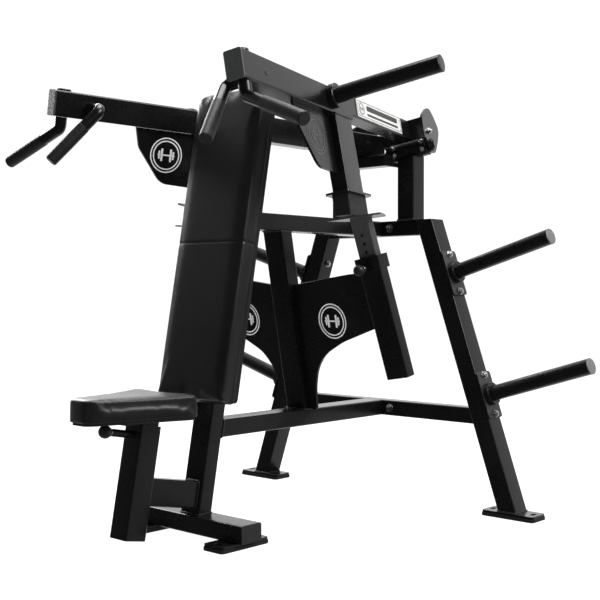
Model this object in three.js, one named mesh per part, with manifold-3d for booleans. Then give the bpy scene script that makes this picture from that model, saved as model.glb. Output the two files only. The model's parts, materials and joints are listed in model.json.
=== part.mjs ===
// Plate-loaded shoulder press machine: a welded tube frame, two pivoting press arms with adjustable
// stops, a fixed back pad and a seat that slides on a leaning post.
// Millimetres, +Z up. The user sits facing -Y, with the left hand towards +X. The machine is the same
// on both sides of X = 0.
import * as THREE from 'three';
import { mergeVertices } from 'three/addons/utils/BufferGeometryUtils.js';
import Module from 'manifold-3d';

const wasm = await Module();
wasm.setup();

// ---------------------------------------------------------------------------------------------
// Driving dimensions
// ---------------------------------------------------------------------------------------------
const GAP = 0.3;                 // clearance between two pieces that touch
const ORIGIN_Y = 265;            // the origin lies this far behind the front cross tube

const WIDE = 76.2;               // 3 inch tube face
const NARROW = 50.8;             // 2 inch tube face
const SHALLOW = 25.4;            // 1 inch tube face
const TUBE_CORNER = 5;           // outer corner radius of square tube
const HORN_RADIUS = 24.15;       // plate horns, for discs with a 50 mm hole
const GRIP_RADIUS = 17.4;        // handle tube
const PLATE = 8;                 // gusset and wing plate thickness

const FOOT_HEIGHT = 17.7;        // steel plate on a rubber pad
const FOOT_SLOT = [14, 26];      // anchor slot, width and length
const FRONT_FOOT = { x: 169.4, width: 75.6, length: 178.5, slot: 66 };
const REAR_FOOT = { x: 532.8, y: 831, width: 179, length: 79, slot: 70 };
const CROSS_TUBE_HALF = 227;

const MAST_LEAN = 10.45;         // degrees, top to the rear
const MAST_FRONT = [-20, 75];    // a point (Y, Z) on the mast's front face
const MAST_TOP = 1222;

const LEG_SPLAY = 19.05;         // degrees, feet outward
const LEG_TUBE = [61, 70];       // width and depth
const LEG_FOOT = [527, 835, 20]; // centre of the leg where it meets its foot
const LEG_TOP = 929.4;

const LOWER_BEAM_Z = 302.5;      // centre heights of the two bolted beam and crossbar levels
const UPPER_BEAM_Z = 904;
const TOP_BEAM_Z = 1182.1;

const WEB_LEAN = 11.17;          // degrees, top to the front: centre tube, wing plates and stops
const WEB_FOOT = [447.4, 328];   // (Y, Z) of the web plane where it meets the lower beam

const STOP_TILT = 9.3;           // degrees, foot of the sleeve outward
const STOP_TOP = [351.5, 476];   // top of the sleeve, measured in the web plane
const STOP_POST = [63.5, SHALLOW];
const STOP_SLEEVE_LENGTH = 356;
const STOP_FIT = 1.2;            // running clearance across the stop post
const SADDLE_RISE = 3.8;         // degrees, outer end of the saddle higher
const SADDLE_TOP = 907.3;        // height of the saddle's top face above the stop post
const SADDLE_CENTRE = 331.5;

const HUB = [142, 830, 1163];    // centre of the left arm's pivot
const HUB_RADIUS = 31.75;
const HUB_HALF = 62;
const POST_TUBE = 65;            // rear posts under the pivots, square
const POST_Y = 831;
const AXLE_RADIUS = 14;
const ARM_TOE = 13.85;           // degrees, arms open towards the front
const ARM_CANT = 10.5;           // degrees, arm plane leans inward at the top
const ARM_PITCH = -2.03;         // degrees, arm rises towards the front
const ARM_REACH = 1075.3;        // pivot to the front of the end cap
const ARM_TOP = 85.8;            // top of the arm tube above the pivot

const BACK_PAD = { half: 144, bottom: 305, top: 1221, board: 12.4, cushion: 52 };
const SEAT_TOP = 420;
const SEAT_CUSHION = 62;
const SEAT_BOARD = 6;
const SEAT_SLEEVE = 70;
const SEAT_STEM = 60;
const SEAT_FIT = 1;
const SEAT_POST_Y = -208.3;      // post centre ahead of the mast's front face, across the lean

// ---------------------------------------------------------------------------------------------
// Finishes
// ---------------------------------------------------------------------------------------------
const POWDER_COAT = { color: 0x17181a, roughness: 0.42, metalness: 0.25 };
const VINYL = { color: 0x101012, roughness: 0.6, metalness: 0 };
const BOARD = { color: 0x1c1b1a, roughness: 0.8, metalness: 0 };
const RUBBER = { color: 0x0e0e0f, roughness: 0.85, metalness: 0 };
const GREY_PLASTIC = { color: 0x3c3d3f, roughness: 0.55, metalness: 0 };
const PALE_PLATE = { color: 0xd8d8d6, roughness: 0.4, metalness: 0.1 };
const ZINC = { color: 0xa9abad, roughness: 0.3, metalness: 0.9 };

// ---------------------------------------------------------------------------------------------
// Shape helpers
// ---------------------------------------------------------------------------------------------
const vec = (x, y, z) => new THREE.Vector3(x, y, z);
const X = vec(1, 0, 0);
const Y = vec(0, 1, 0);
const Z = vec(0, 0, 1);
const radians = THREE.MathUtils.degToRad;

// A rectangle with rounded corners, as points in order round it.
function rectangle(width, height, radius = TUBE_CORNER, steps = 3) {
  const corners = [[1, 1], [-1, 1], [-1, -1], [1, -1]];
  return corners.flatMap(([sx, sy], quarter) =>
    Array.from({ length: steps + 1 }, (_, i) => {
      const turn = radians(90 * (quarter + i / steps));
      return new THREE.Vector2(
        sx * (width / 2 - radius) + radius * Math.cos(turn),
        sy * (height / 2 - radius) + radius * Math.sin(turn),
      );
    }));
}

function circle(radius, sides = 32) {
  return Array.from({ length: sides }, (_, i) => {
    const turn = (2 * Math.PI * i) / sides;
    return new THREE.Vector2(radius * Math.cos(turn), radius * Math.sin(turn));
  });
}

// A closed body through rings of equal length, each convex and flat.
function loft(rings) {
  const count = rings[0].length;
  const last = (rings.length - 1) * count;
  const index = [];
  for (let start = 0; start < last; start += count) {
    for (let i = 0; i < count; i++) {
      const a = start + i;
      const b = start + (i + 1) % count;
      index.push(a, b, b + count, a, b + count, a + count);
    }
  }
  for (let i = 1; i < count - 1; i++) {
    index.push(0, i + 1, i, last, last + i, last + i + 1);
  }
  const geometry = new THREE.BufferGeometry();
  const positions = rings.flat().flatMap((point) => point.toArray());
  geometry.setAttribute('position', new THREE.Float32BufferAttribute(positions, 3));
  geometry.setIndex(index);
  return geometry;
}

// A section carried along a path, mitred at each bend. The section's first axis follows `side`, and
// the ends are cut square or by planes with the given normals.
function sweep(section, path, side, ends = {}) {
  const runs = path.slice(1).map((point, i) => point.clone().sub(path[i]).normalize());
  const across = side.clone().addScaledVector(runs[0], -side.dot(runs[0])).normalize();
  const up = runs[0].clone().cross(across);
  const slideTo = (point, run, anchor, normal) => {
    const distance = anchor.clone().sub(point).dot(normal) / run.dot(normal);
    return point.clone().addScaledVector(run, distance);
  };
  const normals = path.map((_, i) => {
    if (i === 0) return ends.start ?? runs[0];
    if (i === path.length - 1) return ends.end ?? runs[i - 1];
    return runs[i - 1].clone().add(runs[i]);
  });
  const first = section.map((p) => path[0].clone().addScaledVector(across, p.x).addScaledVector(up, p.y));
  const rings = [first.map((point) => slideTo(point, runs[0], path[0], normals[0]))];
  for (let i = 1; i < path.length; i++) {
    rings.push(rings[i - 1].map((point) => slideTo(point, runs[i - 1], path[i], normals[i])));
  }
  return loft(rings);
}

// A flat outline of [x, y, rounding] corners.
function outline(corners) {
  const points = corners.map(([x, y]) => new THREE.Vector2(x, y));
  const shape = new THREE.Shape();
  corners.forEach(([x, y, rounding = 0], i) => {
    const before = points[(i + points.length - 1) % points.length].clone().sub(points[i]);
    const after = points[(i + 1) % points.length].clone().sub(points[i]);
    const into = before.setLength(rounding).add(points[i]);
    const out = after.setLength(rounding).add(points[i]);
    if (i === 0) shape.moveTo(into.x, into.y);
    else shape.lineTo(into.x, into.y);
    if (rounding) shape.quadraticCurveTo(x, y, out.x, out.y);
  });
  shape.closePath();
  return shape;
}

// A plate of the given outline, centred on its plane: outline axes, then thickness axis.
function plate(shape, thickness, [first, second]) {
  const geometry = new THREE.ExtrudeGeometry(shape, { depth: thickness, bevelEnabled: false, curveSegments: 5 });
  geometry.translate(0, 0, -thickness / 2);
  return geometry.applyMatrix4(new THREE.Matrix4().makeBasis(first, second, first.clone().cross(second)));
}

// A round bar or tube along `axis`, given as [distance, radius] steps from end to end.
function turned(steps, axis, sides = 32) {
  const profile = steps.map(([distance, radius]) => new THREE.Vector2(radius, distance));
  const geometry = new THREE.LatheGeometry(profile, sides);
  return geometry.applyQuaternion(new THREE.Quaternion().setFromUnitVectors(Y, axis));
}

const bar = (radius, from, to, axis, sides) =>
  turned([[from, 0], [from, radius], [to, radius], [to, 0]], axis, sides);

const box = (x, y, z) => new THREE.BoxGeometry(x[1] - x[0], y[1] - y[0], z[1] - z[0])
  .translate((x[0] + x[1]) / 2, (y[0] + y[1]) / 2, (z[0] + z[1]) / 2);

function toSolid(geometry) {
  const bare = new THREE.BufferGeometry();
  bare.setAttribute('position', geometry.getAttribute('position'));
  bare.setIndex(geometry.getIndex());
  const merged = mergeVertices(bare, 1e-3);
  return new wasm.Manifold(new wasm.Mesh({
    numProp: 3,
    vertProperties: new Float32Array(merged.getAttribute('position').array),
    triVerts: new Uint32Array(merged.getIndex().array),
  }));
}

function toGeometry(solid) {
  const { vertProperties, triVerts } = solid.getMesh();
  const geometry = new THREE.BufferGeometry();
  geometry.setAttribute('position', new THREE.BufferAttribute(vertProperties, 3));
  geometry.setIndex(new THREE.BufferAttribute(triVerts, 1));
  return geometry;
}

const join = (...pieces) => toGeometry(pieces.map(toSolid).reduce((sum, piece) => sum.add(piece)));
const cut = (body, ...tools) => toGeometry(
  tools.map(toSolid).reduce((rest, tool) => rest.subtract(tool), toSolid(body)));

// The right-hand copy of a piece drawn for the left: reflected in X, with its faces turned back out.
function handed(geometry, side) {
  if (side > 0) return geometry;
  const flipped = geometry.getIndex() ? geometry.toNonIndexed() : geometry.clone();
  const position = flipped.getAttribute('position');
  for (let i = 0; i < position.count; i += 3) {
    const b = vec().fromBufferAttribute(position, i + 1);
    const c = vec().fromBufferAttribute(position, i + 2);
    position.setXYZ(i + 1, c.x, c.y, c.z);
    position.setXYZ(i + 2, b.x, b.y, b.z);
  }
  flipped.deleteAttribute('normal');
  return flipped.scale(-1, 1, 1);
}

// ---------------------------------------------------------------------------------------------
// Scene helpers
// ---------------------------------------------------------------------------------------------
const machine = new THREE.Group();
const frame = new THREE.Group();
frame.position.y = -ORIGIN_Y;
machine.add(frame);

const SIDES = [['left', 1], ['right', -1]];

function add(group, name, geometry, finish) {
  if (!geometry.getAttribute('normal')) geometry.computeVertexNormals();
  const mesh = new THREE.Mesh(geometry, new THREE.MeshStandardMaterial(finish));
  mesh.name = name;
  group.add(mesh);
}

function leaning([x, y, z], [rx, ry, rz] = [0, 0, 0], parent = frame) {
  const group = new THREE.Group();
  group.position.set(x, y, z);
  group.rotation.set(radians(rx), radians(ry), radians(rz), 'ZYX');
  parent.add(group);
  group.updateWorldMatrix(true, false);
  return group;
}

// Directions and points of the upright machine, seen from inside a leaning group.
const directionIn = (group, direction) => direction.clone()
  .applyQuaternion(group.getWorldQuaternion(new THREE.Quaternion()).invert());

function atHeight(group, x, y, height) {
  const up = directionIn(group, Z);
  const origin = group.getWorldPosition(vec());
  return vec(x, y, (height - origin.z - x * up.x - y * up.y) / up.z);
}

// The reverse: points and directions of a leaning group, seen from the upright machine.
const fromGroup = (group, point) => frame.worldToLocal(group.localToWorld(point.clone()));
const directionOf = (group, direction) => direction.clone()
  .applyQuaternion(group.getWorldQuaternion(new THREE.Quaternion()));

function intoGroup(group, geometry) {
  const matrix = group.matrixWorld.clone().invert().multiply(frame.matrixWorld);
  return geometry.applyMatrix4(matrix);
}

frame.updateWorldMatrix(true, false);
const mast = leaning([0, ...MAST_FRONT], [-MAST_LEAN, 0, 0]);
const web = leaning([0, ...WEB_FOOT], [WEB_LEAN, 0, 0]);
const mastUp = directionIn(mast, Z);

// ---------------------------------------------------------------------------------------------
// Base: cross tube, feet, splayed rear legs and the bolted crossbars
// ---------------------------------------------------------------------------------------------
function foot({ width, length, slot }, slotAcross) {
  const shape = outline([[-1, -1], [1, -1], [1, 1], [-1, 1]]
    .map(([sx, sy]) => [sx * width / 2, sy * length / 2, 12]));
  const [slotX, slotY] = slotAcross ? [FOOT_SLOT[1], FOOT_SLOT[0]] : FOOT_SLOT;
  for (const end of [-1, 1]) {
    const hole = rectangle(slotX, slotY, FOOT_SLOT[0] / 2 - 0.01)
      .map((p) => p.add(slotAcross ? new THREE.Vector2(0, end * slot) : new THREE.Vector2(end * slot, 0)));
    shape.holes.push(new THREE.Path(hole));
  }
  return plate(shape, FOOT_HEIGHT, [X, Y]).translate(0, 0, FOOT_HEIGHT / 2);
}

const crossTubeZ = FOOT_HEIGHT + GAP + NARROW / 2;
add(frame, 'front_cross_tube', sweep(rectangle(WIDE, NARROW),
  [vec(-CROSS_TUBE_HALF, 0, crossTubeZ), vec(CROSS_TUBE_HALF, 0, crossTubeZ)], Y), POWDER_COAT);

const legs = {};
for (const [hand, side] of SIDES) {
  add(frame, `front_foot_${hand}`, foot(FRONT_FOOT, true).translate(side * FRONT_FOOT.x, 0, 0), RUBBER);
  add(frame, `rear_foot_${hand}`,
    foot(REAR_FOOT, false).translate(side * REAR_FOOT.x, REAR_FOOT.y, 0), RUBBER);

  const [x, y, z] = LEG_FOOT;
  const leg = leaning([side * x, y, z], [0, -side * LEG_SPLAY, 0]);
  const level = directionIn(leg, Z);
  legs[hand] = leg;
  add(leg, `rear_leg_${hand}`, sweep(rectangle(...LEG_TUBE),
    [atHeight(leg, 0, 0, FOOT_HEIGHT + GAP), atHeight(leg, 0, 0, LEG_TOP)], X,
    { start: level, end: level }), POWDER_COAT);
}

for (const [name, height] of [['upper_crossbar', UPPER_BEAM_Z], ['lower_crossbar', LOWER_BEAM_Z]]) {
  const [start, end] = SIDES.map(([hand, side]) => {
    const inner = -side * (LEG_TUBE[0] / 2 + GAP);
    return { at: fromGroup(legs[hand], atHeight(legs[hand], inner, 0, height)),
      face: directionOf(legs[hand], X) };
  });
  add(frame, name, sweep(rectangle(NARROW, NARROW), [end.at, start.at], Y,
    { start: end.face, end: start.face }), POWDER_COAT);
}

// ---------------------------------------------------------------------------------------------
// Mast, beams and the two posts that carry the arm pivots
// ---------------------------------------------------------------------------------------------
add(mast, 'main_upright', sweep(rectangle(WIDE, NARROW),
  [atHeight(mast, 0, NARROW / 2, 2 * crossTubeZ - FOOT_HEIGHT), atHeight(mast, 0, NARROW / 2, MAST_TOP)], X,
  { start: mastUp, end: mastUp }), POWDER_COAT);

const mastRear = directionOf(mast, Y);
const CROSSBAR_FRONT = LEG_FOOT[1] - NARROW / 2 - GAP;
const BRIDGE_REAR = 783.6;
const TOP_BEAM_REAR = 840;

// A fore-aft beam from the mast's rear face to a flat face at Y = rear.
function beam(width, depth, height, rear) {
  const start = fromGroup(mast, atHeight(mast, 0, NARROW + GAP, height));
  return sweep(rectangle(width, depth), [start, vec(0, rear, height)], X, { start: mastRear });
}
add(frame, 'lower_beam', beam(WIDE, NARROW, LOWER_BEAM_Z, CROSSBAR_FRONT), POWDER_COAT);
add(frame, 'upper_beam', beam(WIDE, NARROW, UPPER_BEAM_Z, CROSSBAR_FRONT), POWDER_COAT);
add(frame, 'top_beam', beam(NARROW, WIDE, TOP_BEAM_Z, TOP_BEAM_REAR), POWDER_COAT);

const BRIDGE_DEPTH = 38.1;
const bridgeZ = TOP_BEAM_Z - WIDE / 2 - GAP - BRIDGE_DEPTH / 2;
const bridgeY = BRIDGE_REAR - NARROW / 2;
const bridgeHalf = 105;
const postInner = HUB[0] - POST_TUBE / 2 - GAP;
const bridgeEars = [-1, 1].map((side) => box(
  side > 0 ? [bridgeHalf - 5, postInner] : [-postInner, 5 - bridgeHalf],
  [BRIDGE_REAR - NARROW + 2, POST_Y + 30], [bridgeZ - BRIDGE_DEPTH / 2, bridgeZ - BRIDGE_DEPTH / 2 + 14]));
add(frame, 'pivot_bridge', join(sweep(rectangle(NARROW, BRIDGE_DEPTH),
  [vec(-bridgeHalf, bridgeY, bridgeZ), vec(bridgeHalf, bridgeY, bridgeZ)], Y), ...bridgeEars), POWDER_COAT);

// ---------------------------------------------------------------------------------------------
// Web: centre tube, wing plates and the sleeves that hold the arm stops
// ---------------------------------------------------------------------------------------------
const webUp = directionIn(web, Z);
add(web, 'centre_tube', sweep(rectangle(WIDE, NARROW),
  [atHeight(web, 0, 0, LOWER_BEAM_Z + NARROW / 2 + GAP), atHeight(web, 0, 0, UPPER_BEAM_Z - NARROW / 2 - GAP)],
  X, { start: webUp, end: webUp }), POWDER_COAT);

const COLLAR = { width: 88, depth: 50, height: 40 };   // block at the top of each stop sleeve
const PIN_Z = -30;                                     // pop-pin, below the top of the sleeve
const PIN_RADIUS = 5;
const PIN_BORE = 5.6;
const PIN_BOSS = 9;

// Inner edge of the stop sleeve in the web plane, at a distance z above the lower beam.
const sleeveEdge = (z) =>
  STOP_TOP[0] + (STOP_TOP[1] - z) * Math.tan(radians(STOP_TILT))
  - (WIDE / 2) / Math.cos(radians(STOP_TILT)) - GAP;

const WING_TOP = 428;
const WING_HEEL = 267;
const wing = outline([
  [WIDE / 2 + GAP, 2], [70, 2, 5], [76, 68, 20], [94, 130, 25], [131, 178, 25], [208, 219, 20],
  [sleeveEdge(WING_HEEL), WING_HEEL], [sleeveEdge(WING_TOP), WING_TOP], [271, 426, 30],
  [WIDE / 2 + GAP, 394],
]);

const CASE = [...STOP_POST].map((face) => face + STOP_FIT);
function stopSleeve() {
  const collarFront = -COLLAR.depth / 2;
  const body = join(
    sweep(rectangle(WIDE, 38.1), [vec(0, 0, -STOP_SLEEVE_LENGTH), vec(0, 0, -COLLAR.height + 1)], X),
    sweep(rectangle(COLLAR.width, COLLAR.depth), [vec(0, 0, -COLLAR.height), vec(0, 0, 0)], X),
    bar(PIN_BOSS, -(collarFront - 20), -collarFront - 2, Y.clone().negate(), 24).translate(0, 0, PIN_Z),
  );
  return cut(body,
    sweep(rectangle(...CASE, 2), [vec(0, 0, -STOP_SLEEVE_LENGTH + 10), vec(0, 0, 1)], X),
    bar(PIN_BORE, 5, 60, Y.clone().negate(), 24).translate(0, 0, PIN_Z));
}

const SADDLE = { front: [236, 432], rear: [262, 401], y: [298, 366], thickness: 5 };
const saddleTilt = new THREE.Quaternion().setFromAxisAngle(Y, -radians(SADDLE_RISE));
const saddleNormal = Z.clone().applyQuaternion(saddleTilt);

function stopPost(group) {
  const { front, rear, y, thickness } = SADDLE;
  const run = (x) => x - SADDLE_CENTRE;
  const saddle = plate(outline([
    [run(front[0]), y[0], 5], [run(front[1]), y[0], 5], [run(rear[1]), y[1], 12], [run(rear[0]), y[1], 12],
  ]), thickness, [X, Y]).translate(0, 0, -thickness / 2).applyQuaternion(saddleTilt);
  saddle.translate(SADDLE_CENTRE, 0, SADDLE_TOP);
  const top = atHeight(group, 0, 0, SADDLE_TOP - 2);
  const post = sweep(rectangle(...STOP_POST, 3), [vec(0, 0, -230), top], X,
    { end: directionIn(group, saddleNormal) });
  const holes = [64, 39, 14, PIN_Z].map((z) =>
    bar(5.5, STOP_POST[1] / 2 - 8, STOP_POST[1], Y.clone().negate(), 20).translate(0, 0, z));
  return cut(join(post, intoGroup(group, saddle)), ...holes);
}

function popPin({ nose, collar, knobAt, knob }) {
  return turned([
    [nose, 0], [nose, PIN_RADIUS], [collar, PIN_RADIUS], [knobAt, PIN_RADIUS + 2], [knobAt, knob * 0.7],
    [knobAt + knob * 0.35, knob], [knobAt + knob * 1.3, knob], [knobAt + knob * 1.75, knob * 0.6],
    [knobAt + knob * 1.85, 0],
  ], Y.clone().negate(), 24);
}

for (const [hand, side] of SIDES) {
  add(web, `wing_plate_${hand}`, handed(plate(wing, PLATE, [X, Z]), side), POWDER_COAT);

  // Pieces are drawn for the left side: handed() reflects them into the right-hand group.
  const left = leaning([STOP_TOP[0], 0, STOP_TOP[1]], [0, -STOP_TILT, 0], web);
  const stop = side > 0 ? left : leaning([-STOP_TOP[0], 0, STOP_TOP[1]], [0, STOP_TILT, 0], web);
  add(stop, `stop_sleeve_${hand}`, handed(stopSleeve(), side), POWDER_COAT);
  add(stop, `stop_post_${hand}`, handed(stopPost(left), side), POWDER_COAT);
  add(stop, `stop_pin_${hand}`, handed(
    popPin({ nose: STOP_POST[1] / 2 + 1, collar: 47, knobAt: 55, knob: 14 }).translate(0, 0, PIN_Z), side), ZINC);
  if (side < 0) web.remove(left);
}

// ---------------------------------------------------------------------------------------------
// Plate storage horns, bolted to the outer faces of the rear legs
// ---------------------------------------------------------------------------------------------
const STORAGE = { upper: 764, lower: 359.5 }; // distance up the leg from its foot
const STORAGE_DROOP = 2;                      // degrees below square to the leg
const STORAGE_PLATE = { height: 150, thickness: 6 };
const STORAGE_LENGTH = 360;

function storageHorn() {
  const face = LEG_TUBE[0] / 2 + GAP;
  const horn = turned([
    [-1, 0], [-1, 32], [12, 32], [12, HORN_RADIUS], [STORAGE_LENGTH, HORN_RADIUS], [STORAGE_LENGTH, 0],
  ], X).rotateY(radians(STORAGE_DROOP)).translate(face + STORAGE_PLATE.thickness - 1, 0, 0);
  const flange = sweep(rectangle(NARROW + 25, STORAGE_PLATE.height, 10),
    [vec(face, 0, 0), vec(face + STORAGE_PLATE.thickness, 0, 0)], Y);
  return join(flange, horn);
}

for (const [hand, side] of SIDES) {
  for (const [level, height] of Object.entries(STORAGE)) {
    add(legs[hand], `storage_horn_${level}_${hand}`,
      handed(storageHorn(), side).translate(0, 0, height), POWDER_COAT);
  }
}

// ---------------------------------------------------------------------------------------------
// Seat: leaning sleeve, sliding stem, board and cushion, and the back pad on the mast
// ---------------------------------------------------------------------------------------------
const SLEEVE_BOTTOM = -79;
const SLEEVE_TOP = 226;
const SEAT_PIN_Z = 196;
const SEAT_BOSS_END = 107;
const sleeveAxis = (z) => vec(0, SEAT_POST_Y, z);
const toFront = Y.clone().negate();

const seatBore = bar(PIN_BORE, 20, SEAT_BOSS_END + 1, toFront, 24).translate(0, SEAT_POST_Y, SEAT_PIN_Z);
const seatBoss = bar(PIN_BOSS + 1.5, SEAT_SLEEVE / 2 - 2, SEAT_BOSS_END, toFront, 24)
  .translate(0, SEAT_POST_Y, SEAT_PIN_Z);
add(mast, 'seat_post', cut(
  join(sweep(rectangle(SEAT_SLEEVE, SEAT_SLEEVE), [sleeveAxis(SLEEVE_BOTTOM), sleeveAxis(SLEEVE_TOP)], X),
    seatBoss),
  sweep(rectangle(SEAT_STEM + SEAT_FIT, SEAT_STEM + SEAT_FIT, 4), [sleeveAxis(0), sleeveAxis(SLEEVE_TOP + 1)], X),
  seatBore), POWDER_COAT);

const linkRear = -GAP;
const linkFront = SEAT_POST_Y + SEAT_SLEEVE / 2 + GAP;
add(mast, 'connecting_tube', sweep(rectangle(NARROW, WIDE),
  [vec(0, linkFront, 48.3), vec(0, linkRear, 48.3)], X), POWDER_COAT);

const boardTop = SEAT_TOP - SEAT_CUSHION - GAP;
const bracketTop = boardTop - SEAT_BOARD - GAP;
const bracket = box([-60, 60], [-290, -160], [bracketTop - 5, bracketTop]);
const stem = sweep(rectangle(SEAT_STEM, SEAT_STEM), [sleeveAxis(15), atHeight(mast, 0, SEAT_POST_Y, bracketTop - 2)],
  X, { end: mastUp });
const stemHoles = [0, 1, 2, 3, 4, 5].map((step) =>
  bar(5.5, SEAT_STEM / 2 - 8, SEAT_STEM, toFront, 20).translate(0, SEAT_POST_Y, SEAT_PIN_Z - 30 * step));
add(mast, 'seat_stem', cut(join(stem, intoGroup(mast, bracket)), ...stemHoles), POWDER_COAT);
add(mast, 'seat_pin', popPin({ nose: SEAT_STEM / 2 + 1.5, collar: SEAT_BOSS_END + 1, knobAt: 115, knob: 18 })
  .translate(0, SEAT_POST_Y, SEAT_PIN_Z), RUBBER);

// Seat plan: a trapezium with a narrow nose, drawn smaller by `inset`.
function seatPlan(inset) {
  return outline([
    [-30 + inset / 2, -405 + inset, 8], [30 - inset / 2, -405 + inset, 8], [52 - inset, -387 + inset, 12],
    [139 - inset, -95 - inset, 26], [-139 + inset, -95 - inset, 26], [-52 + inset, -387 + inset, 12],
  ]);
}
add(frame, 'seat_cushion', plate(seatPlan(0), SEAT_CUSHION, [X, Y])
  .translate(0, 0, SEAT_TOP - SEAT_CUSHION / 2), VINYL);
add(frame, 'seat_board', plate(seatPlan(8), SEAT_BOARD, [X, Y])
  .translate(0, 0, boardTop - SEAT_BOARD / 2), BOARD);

function padPlan(inset) {
  const { half, bottom, top } = BACK_PAD;
  return outline([
    [-half + inset, bottom + inset, 14], [half - inset, bottom + inset, 14],
    [half - inset, top - inset, 42], [-half + inset, top - inset, 42],
  ]);
}
const boardY = -GAP - BACK_PAD.board / 2;
const padY = boardY - BACK_PAD.board / 2 - GAP - BACK_PAD.cushion / 2;
add(mast, 'back_board', plate(padPlan(8), BACK_PAD.board, [X, Z]).translate(0, boardY, 0), BOARD);
add(mast, 'back_cushion', plate(padPlan(0), BACK_PAD.cushion, [X, Z]).translate(0, padY, 0), VINYL);

// ---------------------------------------------------------------------------------------------
// Press arms. Each is drawn in its own axes: X outward along the pivot, Y to the rear, Z up, with
// the pivot at the origin.
// ---------------------------------------------------------------------------------------------
const ARM_BOTTOM = ARM_TOP - WIDE;
const LINK_HEIGHT = 63.5;
const LINK_FRONT = -480;
const LINK_REAR = -50;
const TUBE_FRONT = -ARM_REACH + 6;
const DOWN_TUBE = { top: -545, bottom: -534, foot: -214, length: 101.6 };
const BUMPER_TOP = -220.3;
const HORN_AT = [-600, 55];
const HORN_REACH = 355;

const alongY = (width, height, from, to, z) =>
  sweep(rectangle(width, height), [vec(0, from, z), vec(0, to, z)], X);

function armTube() {
  return join(
    alongY(NARROW, WIDE, TUBE_FRONT, LINK_FRONT, ARM_TOP - WIDE / 2),
    alongY(NARROW, LINK_HEIGHT, LINK_FRONT - 1, LINK_REAR + 1, ARM_TOP - LINK_HEIGHT / 2));
}

function downTube() {
  const { top, bottom, foot: z, length } = DOWN_TUBE;
  const leg = sweep(rectangle(NARROW, length), [vec(0, top, ARM_BOTTOM - GAP), vec(0, bottom, z - 1)], X,
    { start: Z, end: Z });
  const flange = sweep(rectangle(WIDE, 156, 10), [vec(0, bottom, z - 6), vec(0, bottom, z)], X);
  return join(leg, flange);
}

function gusset() {
  const top = ARM_BOTTOM - GAP;
  const rear = (z) => DOWN_TUBE.top - DOWN_TUBE.length / 2 - GAP - 0.4
    + (DOWN_TUBE.bottom - DOWN_TUBE.top) * (top - z) / (top - DOWN_TUBE.foot);
  return plate(outline([
    [-800, top], [-785, -52, 10], [-705, -149, 14], [-684, -157, 8], [rear(-161), -161], [rear(top), top],
  ]), PLATE, [Y, Z]);
}

// The bumper's foot lies on the saddle when the arm is down.
function bumper(arm) {
  const normal = directionIn(arm, saddleNormal);
  const onSaddle = vec(SADDLE_CENTRE, 0, SADDLE_TOP + GAP);
  const target = intoGroup(arm, new THREE.BufferGeometry().setFromPoints([onSaddle]));
  const anchor = vec().fromBufferAttribute(target.getAttribute('position'), 0);
  const top = vec(0, DOWN_TUBE.bottom, BUMPER_TOP);
  const foot = top.clone();
  foot.z += anchor.sub(top).dot(normal) / normal.z;
  return sweep(rectangle(NARROW + 3, 117, 6), [top, foot], X, { end: normal });
}

function armHorn() {
  const face = NARROW / 2 + GAP;
  return turned([
    [face, 0], [face, 30], [face + 12, 30], [face + 12, HORN_RADIUS], [HORN_REACH, HORN_RADIUS],
    [HORN_REACH, 0],
  ], X).translate(0, ...HORN_AT);
}

function outerHandle() {
  const elbow = vec(3, -1039, -25);
  return sweep(circle(GRIP_RADIUS, 24),
    [vec(3, -1039, ARM_BOTTOM - GAP), elbow, vec(190, -1118, -148)], Y);
}

function innerHandle() {
  const elbow = vec(-99, -960.5, 45.5);
  return sweep(circle(GRIP_RADIUS, 24),
    [vec(-NARROW / 2 - GAP, -960.5, 45.5), elbow, vec(-96, -1095, -118)], Z);
}

// Fork at the rear of the arm: a cross plate, a cheek outside each end of the hub, and the axle.
function yoke() {
  const cheek = outline([
    [LINK_REAR, 30, 8], [LINK_REAR, 88, 20], [-14, 112, 12], [8, 126, 8], [34, 126, 10], [58, 106, 14],
    [92, 64, 22], [62, 14, 20], [24, -27, 14], [-15, -27, 10], [-22, -6, 6],
  ]);
  const axle = HUB_HALF + 26;
  return join(
    box([-HUB_HALF - 13, HUB_HALF + 13], [LINK_REAR + 1.3, LINK_REAR + 9], [18, ARM_TOP]),
    plate(cheek, 9, [Y, Z]).translate(HUB_HALF + 8.5, 0, 0),
    plate(cheek, 9, [Y, Z]).translate(-HUB_HALF - 8.5, 0, 0),
    bar(AXLE_RADIUS, -axle, axle, X),
    bar(20, HUB_HALF + 12, HUB_HALF + 20, X, 6),
    bar(20, -HUB_HALF - 20, -HUB_HALF - 12, X, 6));
}

// Bearing tube fixed to the frame, bored for the axle.
function pivotHousing() {
  const bore = AXLE_RADIUS + 0.6;
  return turned([
    [-HUB_HALF, bore], [-HUB_HALF, HUB_RADIUS], [HUB_HALF, HUB_RADIUS], [HUB_HALF, bore], [-HUB_HALF, bore],
  ], X);
}

function rearPost(arm) {
  const bottom = vec(HUB[0], POST_Y, UPPER_BEAM_Z + NARROW / 2 + GAP);
  const top = bottom.clone().setZ(HUB[2] - HUB_RADIUS + 3);
  const post = sweep(rectangle(POST_TUBE, POST_TUBE), [bottom, top], X, { end: directionOf(arm, Z) });
  const seat = bar(HUB_RADIUS + GAP, -100, 100, X).applyMatrix4(
    frame.matrixWorld.clone().invert().multiply(arm.matrixWorld));
  return cut(post, seat);
}

const leftArm = leaning(HUB, [ARM_PITCH, -ARM_CANT, ARM_TOE]);
const rightArm = leaning([-HUB[0], HUB[1], HUB[2]], [ARM_PITCH, ARM_CANT, -ARM_TOE]);

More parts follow.
